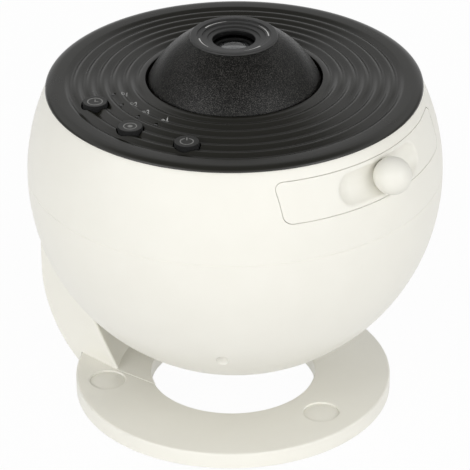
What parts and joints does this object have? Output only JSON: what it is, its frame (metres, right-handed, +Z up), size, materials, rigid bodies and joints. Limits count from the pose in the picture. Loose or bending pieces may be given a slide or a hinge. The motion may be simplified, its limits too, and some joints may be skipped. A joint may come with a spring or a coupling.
{
  "type": "planetarium projector",
  "caption": "Ball-shaped star projector on a C-shaped arm and ring foot, with a rippled cover, a focus cone with a lens, touch buttons and a pull-out drawer for the star disc.",
  "frame": {"origin": "on the table, under the middle of the whole object's length and width", "axes": "+Z up; +X from the arm through the ball to the disc drawer; the buttons face -Y"},
  "size_m": [0.1742, 0.16, 0.156],
  "materials": {
    "white_plastic": "warm white, satin",
    "knob_plastic": "warm white, polished",
    "cover_plastic": "black, satin with a fine grain",
    "cone_plastic": "black, sparked grain",
    "focus_plastic": "black, smooth",
    "button_plastic": "black, satin",
    "inner_black": "black, matt",
    "switch_plastic": "dark grey, matt",
    "pinion_plastic": "natural, matt",
    "washer_plastic": "natural, smooth",
    "disc_film": "dark film in a clear disc",
    "light_pipe": "clear light pipe",
    "lens_glass": "clear, coated",
    "led": "yellow phosphor under a clear dome",
    "board": "circuit board",
    "socket": "black socket",
    "rubber": "matt",
    "weight_steel": "plain",
    "screw_steel": "zinc plated",
    "shaft_steel": "turned",
    "motor_metal": "drawn can",
    "sink_metal": "extruded"
  },
  "bodies": {
    "stand": {"base_ring": "white_plastic", "base_weight": "weight_steel", "base_cover": "white_plastic", "anti_slip_ring": "rubber", "base_screws": "screw_steel", "recess_plugs": "white_plastic", "stand_arm": "white_plastic", "arm_back_cover": "white_plastic", "arm_screws": "screw_steel", "pivot_shaft": "shaft_steel", "pivot_cap": "white_plastic", "friction_washer": "washer_plastic", "spring_washer": "shaft_steel", "pivot_nut": "screw_steel"},
    "ball": {"pivot_cup": "white_plastic", "upper_shell": "white_plastic", "lower_shell": "white_plastic", "shell_screws": "screw_steel", "top_cover": "cover_plastic", "control_board": "board", "button_switches": "switch_plastic", "indicator_lights": "light_pipe", "lens_mount": "inner_black", "chassis": "inner_black", "condenser_lens": "lens_glass", "led_board": "board", "led_emitter": "led", "heat_sink": "sink_metal", "motor": "motor_metal", "power_inlet": "socket"},
    "drawer": {"drawer_front": "white_plastic", "drawer_knob": "knob_plastic", "disc_tray": "inner_black"},
    "disc_table": {"turntable": "inner_black", "star_disc": "disc_film"},
    "pinion": {"motor_pinion": "pinion_plastic"},
    "focus_cone": {"lens_cone": "cone_plastic", "focus_ring": "focus_plastic"},
    "lens": {"lens_barrel": "inner_black", "front_lens": "lens_glass", "rear_lens": "lens_glass", "guide_pin": "shaft_steel"},
    "timer_button": {"timer_button": "button_plastic"},
    "lamp_button": {"lamp_button": "button_plastic"},
    "power_button": {"power_button": "button_plastic"}
  },
  "joints": [
    {"name": "ball_tilt", "type": "hinge", "parent": "stand", "child": "ball", "pos_m": [0.0001, 0, 0.099], "axis": [1, 0, 0], "range_deg": [-90, 90]},
    {"name": "drawer_slide", "type": "slide", "parent": "ball", "child": "drawer", "axis": [1, 0, 0], "range_m": [0, 0.102]},
    {"name": "disc_spin", "type": "hinge", "parent": "drawer", "child": "disc_table", "pos_m": [0.0001, 0, 0.099], "axis": [0, 0, 1], "continuous": true},
    {"name": "pinion_spin", "type": "hinge", "parent": "ball", "child": "pinion", "pos_m": [-0.042, 0, 0.1216], "axis": [0, 0, 1], "continuous": true},
    {"name": "focus_turn", "type": "hinge", "parent": "ball", "child": "focus_cone", "pos_m": [0.0001, 0, 0.099], "axis": [0, 0, 1], "range_deg": [-135, 135]},
    {"name": "lens_slide", "type": "slide", "parent": "ball", "child": "lens", "axis": [0, 0, 1], "range_m": [-0.0015, 0.0015]},
    {"name": "timer_press", "type": "slide", "parent": "ball", "child": "timer_button", "axis": [0, 0, -1], "range_m": [0, 0.0008], "stiffness_N_per_m": 400, "springref_m": -0.001},
    {"name": "lamp_press", "type": "slide", "parent": "ball", "child": "lamp_button", "axis": [0, 0, -1], "range_m": [0, 0.0008], "stiffness_N_per_m": 400, "springref_m": -0.001},
    {"name": "power_press", "type": "slide", "parent": "ball", "child": "power_button", "axis": [0, 0, -1], "range_m": [0, 0.0008], "stiffness_N_per_m": 400, "springref_m": -0.001}
  ],
  "couplings": [
    {"joint": "pinion_spin", "follows": "disc_spin", "ratio": -6},
    {"joint": "lens_slide", "follows": "focus_turn", "m_per_rad": 0.000636}
  ]
}
